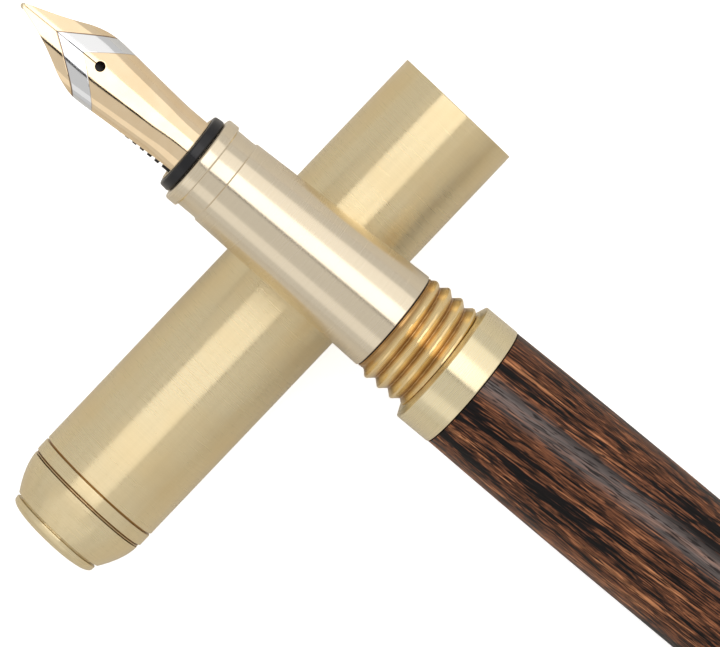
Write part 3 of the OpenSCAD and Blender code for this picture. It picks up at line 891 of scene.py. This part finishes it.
def flatSection(top, crown, half, inner, share):
    # height and half-width on a broad shallow arc over the top and a tighter arc down the flank
    bend = math.sin(nib["topAngle"])
    turned = min(half / top, bend)
    flank = max(nib["flankCurve"], (half - top * turned) / (nib["flankEnd"] - bend))
    edge = math.asin(min(nib["flankEnd"], turned + (half - top * turned) / flank))
    first, start = top * math.asin(turned), top * math.asin(inner / top)
    reach = start + (first + flank * (edge - math.asin(turned)) - start) * share
    angle = reach / top if reach <= first else math.asin(turned) + (reach - first) / flank
    low = min(angle, math.asin(turned))
    width = top * math.sin(low) + flank * (math.sin(angle) - math.sin(low))
    height = crown - top * (1 - math.cos(low)) - flank * (math.cos(low) - math.cos(angle))
    return height, width


def nibSection(station, half, inner, share):
    # the flat section eases to a plain round one where the nib enters the section
    crown, top = smoothAt(nib["crown"], station), smoothAt(nib["topCurve"], station)
    height, width = flatSection(top, crown, half, inner, share)
    plainHeight, plainWidth = roundSection(crown, half, inner, share)
    blend = min(1.0, max(0.0, (station - nib["roundFrom"]) / nib["roundOver"]))
    return height * (1 - blend) + plainHeight * blend, width * (1 - blend) + plainWidth * blend


def nibMesh():
    verts, faces, index = [], [], {}
    rows = nibStations()
    for i, s in enumerate(rows):
        half, inner = smoothAt(nib["plan"], s), nibInnerEdge(s)
        inner = min(inner, half * 0.6)
        for side in (-1, 1):
            for k in range(nib["columns"] + 1):
                if side == 1 and k == 0 and inner < 1e-6:
                    index[i, side, k] = index[i, -1, 0]
                    continue
                height, width = nibSection(s, half, inner, k / nib["columns"])
                index[i, side, k] = len(verts)
                verts.append((height * mm, side * width * mm, s * mm))
    for i in range(len(rows) - 1):
        for side in (-1, 1):
            for k in range(nib["columns"]):
                corners = (i, k), (i + 1, k), (i + 1, k + 1), (i, k + 1)
                face = ringFace([index[row, side, column] for row, column in corners])
                if face:
                    faces.append(face if side == 1 else face[::-1])
    mesh = bpy.data.meshes.new("nibBlade")
    mesh.from_pydata(verts, [], faces)
    return mesh


nibLook = {
    "gold": (0.94, 0.76, 0.52), "goldDeep": (0.85, 0.64, 0.39), "silver": (0.78, 0.80, 0.83),
    "outline": (0.20, 0.12, 0.07), "roughness": 0.07,
    "outerTip": 4.4, "outerSlope": 1.42, "innerTip": 7.7, "innerSlope": 1.22, "lineWidth": 0.14,
}


def twoToneGold(look):
    # silver chevron set into gold, with a fine dark line round it; stations run along Z
    material, tree, shader, coords = newMaterial("twoToneGold")
    shader.inputs["Metallic"].default_value = 1.0
    _, side, station = splitAxes(tree, scaleVector(tree, coords, (1 / mm, 1 / mm, 1 / mm)))
    wide = mathNode(tree, "ABSOLUTE", side)
    outerAt = total(tree, product(tree, wide, look["outerSlope"]), look["outerTip"])
    innerAt = total(tree, product(tree, wide, look["innerSlope"]), look["innerTip"])
    outer, inner = difference(tree, station, outerAt), difference(tree, station, innerAt)
    pastOuter = remap(tree, outer, -0.03, 0.03, 0.0, 1.0)
    beforeInner = remap(tree, inner, -0.03, 0.03, 1.0, 0.0)
    silverMask = product(tree, pastOuter, beforeInner, clamp=True)
    line = look["lineWidth"]
    outerLine = remap(tree, mathNode(tree, "ABSOLUTE", outer), line * 0.5, line, 0.85, 0.0)
    innerLine = remap(tree, mathNode(tree, "ABSOLUTE", inner), line * 0.3, line * 0.7, 0.3, 0.0)
    lineMask = mathNode(tree, "MAXIMUM", outerLine, innerLine)
    marks = useGroup(tree, handMarks, coords, Scale=420.0)
    streaks = useGroup(tree, lengthStreaks, coords, Across=2600.0, Along=160.0)
    gold = mixColor(tree, remap(tree, marks, 0.35, 0.7, 0.0, 0.6), look["gold"], look["goldDeep"])
    metal = mixColor(tree, silverMask, gold, look["silver"])
    link(tree, mixColor(tree, lineMask, metal, look["outline"]), shader.inputs["Base Color"])
    link(tree, remap(tree, streaks, 0.3, 0.7, look["roughness"] - 0.03, look["roughness"] + 0.06),
         shader.inputs["Roughness"])
    height = total(tree, product(tree, lineMask, -1.0), product(tree, streaks, 0.05))
    addBump(tree, shader, height, 0.5, 0.00003)
    return material


def applyModifiers(piece):
    graph = bpy.context.evaluated_depsgraph_get()
    done = bpy.data.meshes.new_from_object(piece.evaluated_get(graph))
    piece.modifiers.clear()
    piece.data = done


def formNib():
    blade = bpy.data.objects.new("nibBlade", nibMesh())
    bpy.context.scene.collection.objects.link(blade)
    sheetMetal = blade.modifiers.new("sheetMetal", "SOLIDIFY")
    sheetMetal.thickness = nib["thickness"] * mm
    sheetMetal.offset = -1.0
    sheetMetal.use_even_offset = True
    softEdge = blade.modifiers.new("softEdge", "BEVEL")
    softEdge.width = 0.05 * mm
    softEdge.segments = 2
    softEdge.limit_method = "ANGLE"
    softEdge.angle_limit = math.radians(50)
    applyModifiers(blade)
    finishMesh(blade, twoToneGold(nibLook), 35)
    placePiece(blade, nibPlace, "nib", "nib_blade")


formNib()

nibTip = {"radius": 0.33, "station": 0.32, "rise": 2.7, "stretch": 1.35, "narrow": 0.9}


def tippingMaterial():
    material, tree, shader, coords = newMaterial("tippingMetal")
    shader.inputs["Metallic"].default_value = 1.0
    marks = useGroup(tree, handMarks, coords, Scale=1500.0)
    link(tree, mixColor(tree, marks, (0.80, 0.66, 0.42), (0.92, 0.84, 0.66)),
         shader.inputs["Base Color"])
    link(tree, remap(tree, marks, 0.3, 0.7, 0.12, 0.25), shader.inputs["Roughness"])
    return material


def formTipping():
    # a small ball welded on the end, drawn out a little toward the nib
    ball = bmesh.new()
    bmesh.ops.create_uvsphere(ball, u_segments=32, v_segments=20, radius=nibTip["radius"] * mm)
    for vert in ball.verts:
        if vert.co.z > 0:
            vert.co.z *= nibTip["stretch"]
        vert.co.y *= nibTip["narrow"]
        vert.co += Vector((nibTip["rise"], 0, nibTip["station"])) * mm
    mesh = bpy.data.meshes.new("nibTipping")
    ball.to_mesh(mesh)
    ball.free()
    tipping = bpy.data.objects.new("nibTipping", mesh)
    bpy.context.scene.collection.objects.link(tipping)
    finishMesh(tipping, tippingMaterial(), 60)
    placePiece(tipping, nibPlace, "nib", "nib_tipping")


formTipping()
print("nib formed")

feed = {
    "from": 6.0, "to": 37.3, "topRadius": 2.68, "bodyRadius": 2.94, "slotRadius": 1.95, "seatHeight": 0.2,
    "finsFrom": 13.0, "finPitch": 0.95, "finSlot": 0.45, "fins": 9, "columns": 72,
    "underside": [(6.0, 2.25), (8.5, 0.9), (11.5, -1.2), (14.0, -2.9), (16.0, -3.2), (37.3, -3.2)],
}


def straightAt(table, x):
    for (x0, y0), (x1, y1) in zip(table, table[1:]):
        if x <= x1:
            return y0 + (y1 - y0) * (x - x0) / (x1 - x0)
    return table[-1][1]


def feedMesh():
    # one ring of points for each station; slots between the fins drop to a smaller radius
    edge = 0.03
    slots = [feed["finsFrom"] + i * feed["finPitch"] for i in range(feed["fins"])]
    rows = [feed["from"] + 0.5 * k for k in range(14)]
    for slot in slots:
        rows += [slot - edge, slot, slot + feed["finSlot"], slot + feed["finSlot"] + edge]
    rows += [22.0, 26.0, 30.0, 34.0, feed["to"]]
    verts, faces = [], []
    for s in rows:
        inSlot = any(slot - edge / 2 < s < slot + feed["finSlot"] + edge / 2 for slot in slots)
        low = straightAt(feed["underside"], s)
        for k in range(feed["columns"]):
            angle = 2 * math.pi * k / feed["columns"]
            radius = feed["slotRadius"] if inSlot else feed["bodyRadius"]
            if math.cos(angle) * feed["topRadius"] > feed["seatHeight"]:
                radius = feed["topRadius"]
            x, y = radius * math.cos(angle), radius * math.sin(angle)
            if x < low:
                # the sloping cut under the tip also narrows the feed there
                cutRadius = feed["topRadius"] if low > feed["seatHeight"] else radius
                cutHalf = math.sqrt(max(0.0, cutRadius ** 2 - low ** 2))
                x, y = low, math.copysign(min(abs(y), cutHalf), y)
            verts.append((x * mm, y * mm, s * mm))
    count = feed["columns"]
    for i in range(len(rows) - 1):
        for k in range(count):
            j = (k + 1) % count
            faces.append([i * count + k, i * count + j, (i + 1) * count + j, (i + 1) * count + k])
    faces.append(list(range(count))[::-1])
    faces.append([(len(rows) - 1) * count + k for k in range(count)])
    mesh = bpy.data.meshes.new("inkFeed")
    mesh.from_pydata(verts, [], faces)
    return mesh


inkFeed = bpy.data.objects.new("inkFeed", feedMesh())
bpy.context.scene.collection.objects.link(inkFeed)
finishMesh(inkFeed, feedPlastic, 30)
placePiece(inkFeed, nibPlace, "feed", "feed")
print("feed cut")


def floorFinish():
    # pale and slightly glowing where the camera sees it, greyer where shiny pieces mirror it
    material, tree, shader = plainMaterial("paleFloor")
    where = addNode(tree, "ShaderNodeTexCoord").outputs["Object"]
    marks = useGroup(tree, handMarks, where, Scale=6.0)
    seen = addNode(tree, "ShaderNodeLightPath").outputs["Is Camera Ray"]
    pale = mixColor(tree, marks, (0.93, 0.93, 0.93), (0.97, 0.97, 0.97))
    link(tree, mixColor(tree, seen, (0.72, 0.70, 0.66), pale), shader.inputs["Base Color"])
    shader.inputs["Roughness"].default_value = 0.9
    shader.inputs["Specular IOR Level"].default_value = 0.0
    shader.inputs["Emission Color"].default_value = (1, 1, 1, 1)
    link(tree, product(tree, seen, 0.6), shader.inputs["Emission Strength"])
    return material


bpy.ops.mesh.primitive_plane_add(size=6.0, location=(0, 0, 0))
floor = bpy.context.object
floor.name = "floor"
floor.data.materials.append(floorFinish())

world = bpy.data.worlds.new("studio")
bpy.context.scene.world = world
world.use_nodes = True
sky = world.node_tree.nodes["Background"]
sky.inputs["Color"].default_value = (1.0, 0.97, 0.93, 1)
sky.inputs["Strength"].default_value = 0.70

lights = {
    # name: centre and the point it faces (m), width and depth (m), brightness, colour
    "keyBox": ((-0.09, 0.30, 0.9), (-0.09, 0.30, 0.0), (0.98, 0.60), 1.3, (1.0, 0.975, 0.97)),
    "farBox": ((0.0, 0.93, 0.78), (0.0, 0.0, 0.0), (2.0, 0.74), 0.44, (1.0, 0.97, 0.93)),
    "fillBox": ((0.0, -1.10, 0.70), (0.0, 0.0, 0.0), (2.2, 0.6), 0.26, (1.0, 0.97, 0.93)),
}
for lightName, (centre, target, size, brightness, color) in lights.items():
    data = bpy.data.lights.new(lightName, "AREA")
    data.shape = "RECTANGLE"
    data.size, data.size_y = size
    data.energy = brightness * math.pi * size[0] * size[1]
    data.color = color
    lamp = bpy.data.objects.new(lightName, data)
    lamp.location = centre
    lamp.rotation_euler = (Vector(centre) - Vector(target)).to_track_quat("Z", "Y").to_euler()
    bpy.context.scene.collection.objects.link(lamp)

# black flags beside the key box give polished metal its thin dark lines: centre, width and depth (m)
flags = {
    "nearFlag": ((-0.09, -0.040), (0.98, 0.07)),
    "leftFlag": ((-0.605, 0.30), (0.05, 0.62)),
    "rightFlag": ((0.425, 0.30), (0.05, 0.62)),
}
flagHeight = 0.9
flagMaterial, _, flagShader = plainMaterial("blackFlag")
flagShader.inputs["Base Color"].default_value = (0.01, 0.01, 0.01, 1)
flagShader.inputs["Roughness"].default_value = 1.0
for flagName, (centre, size) in flags.items():
    bpy.ops.mesh.primitive_plane_add(size=1.0, location=(*centre, flagHeight))
    flag = bpy.context.object
    flag.name = flagName
    flag.scale = (*size, 1.0)
    flag.visible_camera = False
    flag.data.materials.append(flagMaterial)

cameraSetup = {
    "place": (0.02509, 0.03288, 0.73042), "turn": (0.968, 3.911, 43.690),
    "lens": 357.97, "sensor": 36.0,
}
cameraData = bpy.data.cameras.new("camera")
cameraData.lens = cameraSetup["lens"]
cameraData.sensor_width = cameraSetup["sensor"]
cameraData.clip_start = 0.01
camera = bpy.data.objects.new("camera", cameraData)
camera.location = cameraSetup["place"]
camera.rotation_euler = [math.radians(a) for a in cameraSetup["turn"]]
bpy.context.scene.collection.objects.link(camera)
bpy.context.scene.camera = camera
bpy.context.scene.view_settings.view_transform = "Standard"
print("stage set")
